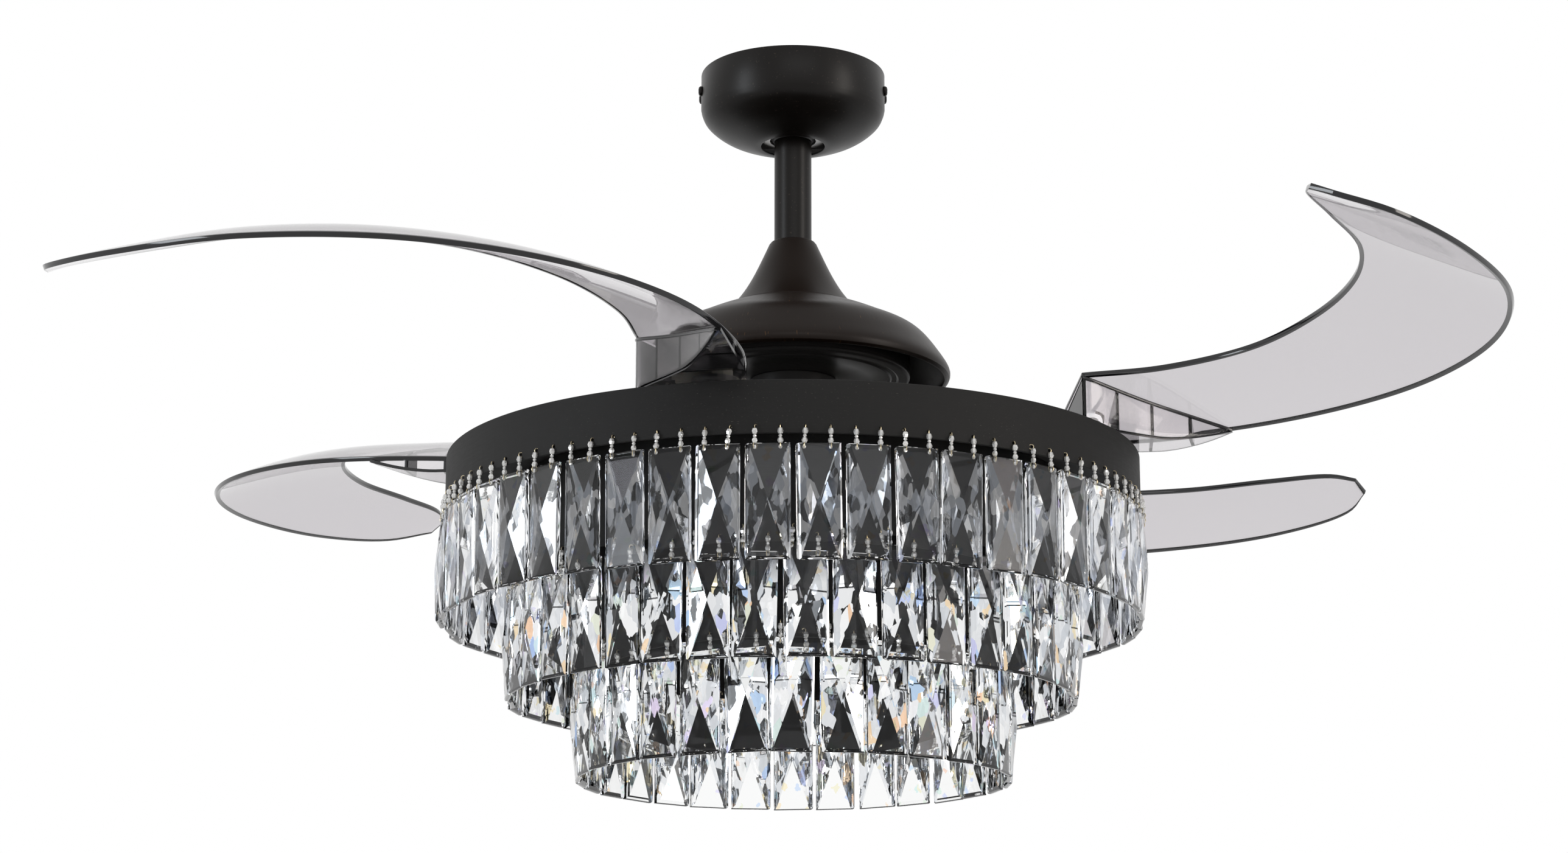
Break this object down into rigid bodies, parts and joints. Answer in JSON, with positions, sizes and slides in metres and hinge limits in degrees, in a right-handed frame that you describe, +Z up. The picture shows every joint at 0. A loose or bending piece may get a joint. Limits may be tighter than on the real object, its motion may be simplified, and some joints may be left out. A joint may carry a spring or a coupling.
{
  "type": "retractable blade ceiling fan",
  "caption": "Ceiling fan with curved clear blades that fold in over a light ring hung with stepped tiers of cut crystals, on a short downrod and bell canopy.",
  "frame": {"origin": "middle of the flat top of the ceiling bracket, on the fan's axis", "axes": "+Z up, along the fan's axis, into the ceiling; +X to the right and +Y away from the picture's camera"},
  "size_m": [0.9888, 0.9888, 0.5538],
  "materials": {
    "satin_black": "satin brown-black paint",
    "bronze": "dark oil-rubbed bronze, brushed downwards",
    "charcoal": "matte charcoal with a fine brushed grain",
    "steel": "plain zinc-plated steel",
    "laminations": "stacked sheet steel",
    "copper": "enamelled copper wire",
    "magnet": "sintered ferrite",
    "nylon": "moulded nylon",
    "black_nylon": "moulded black nylon",
    "bulb_glass": "clear capsule bulb",
    "smoke": "clear smoke-grey acrylic",
    "crystal": "clear cut crystal"
  },
  "bodies": {
    "root": {"ceiling_bracket": "steel", "canopy": "satin_black", "canopy_screw_1": "satin_black", "canopy_screw_2": "satin_black", "canopy_screw_3": "satin_black", "canopy_screw_4": "satin_black", "hanger_ball": "black_nylon", "ball_pin": "steel", "downrod": "satin_black", "coupling_cover": "bronze", "yoke": "steel", "yoke_pin": "steel", "motor_dome": "bronze", "main_shaft": "steel", "stator": "laminations", "upper_winding": "copper", "lower_winding": "copper", "light_ring": "charcoal", "lamp_plate": "charcoal", "shaft_nut": "steel", "lamp_holder": "satin_black", "bulb_1": "bulb_glass", "bulb_2": "bulb_glass", "bulb_3": "bulb_glass", "bulb_4": "bulb_glass", "crystal_tier_1": "crystal", "tier_2_band": "charcoal", "crystal_tier_2": "crystal", "tier_3_band": "charcoal", "crystal_tier_3": "crystal"},
    "rotor": {"rotor_cup": "satin_black", "magnet_ring": "magnet", "upper_bearing": "steel", "rotor_plate": "satin_black", "hub_column": "satin_black", "lower_bearing": "steel", "blade_carrier": "steel", "gear_retainer": "steel", "return_spring": "steel", "pivot_bush_1": "steel", "pivot_bush_2": "steel", "pivot_bush_3": "steel", "pivot_bush_4": "steel"},
    "sync_gear": {"sync_spider": "nylon"},
    "blade_unit_1": {"blade_1": "smoke", "pivot_shaft_1": "steel", "pivot_clip_1": "steel", "pinion_1": "nylon"},
    "blade_unit_2": {"blade_2": "smoke", "pivot_shaft_2": "steel", "pivot_clip_2": "steel", "pinion_2": "nylon"},
    "blade_unit_3": {"blade_3": "smoke", "pivot_shaft_3": "steel", "pivot_clip_3": "steel", "pinion_3": "nylon"},
    "blade_unit_4": {"blade_4": "smoke", "pivot_shaft_4": "steel", "pivot_clip_4": "steel", "pinion_4": "nylon"}
  },
  "joints": [
    {"name": "fan_spin", "type": "hinge", "parent": "root", "child": "rotor", "pos_m": [0, 0, -0.2475], "axis": [0, 0, 1], "continuous": true},
    {"name": "blade_1_fold", "type": "hinge", "parent": "rotor", "child": "blade_unit_1", "pos_m": [0.21832, -0.05443, -0.3095], "axis": [0, 0, -1], "range_deg": [0, 108]},
    {"name": "blade_2_fold", "type": "hinge", "parent": "rotor", "child": "blade_unit_2", "pos_m": [-0.05443, -0.21832, -0.3095], "axis": [0, 0, -1], "range_deg": [0, 108]},
    {"name": "blade_3_fold", "type": "hinge", "parent": "rotor", "child": "blade_unit_3", "pos_m": [-0.21832, 0.05443, -0.3095], "axis": [0, 0, -1], "range_deg": [0, 108]},
    {"name": "blade_4_fold", "type": "hinge", "parent": "rotor", "child": "blade_unit_4", "pos_m": [0.05443, 0.21832, -0.3095], "axis": [0, 0, -1], "range_deg": [0, 108]},
    {"name": "sync_turn", "type": "hinge", "parent": "rotor", "child": "sync_gear", "pos_m": [0, 0, -0.32], "axis": [0, 0, 1], "range_deg": [0, 14.73]}
  ],
  "couplings": [
    {"joint": "blade_2_fold", "follows": "blade_1_fold", "ratio": 1},
    {"joint": "blade_3_fold", "follows": "blade_1_fold", "ratio": 1},
    {"joint": "blade_4_fold", "follows": "blade_1_fold", "ratio": 1},
    {"joint": "sync_turn", "follows": "blade_1_fold", "ratio": 0.13636}
  ]
}
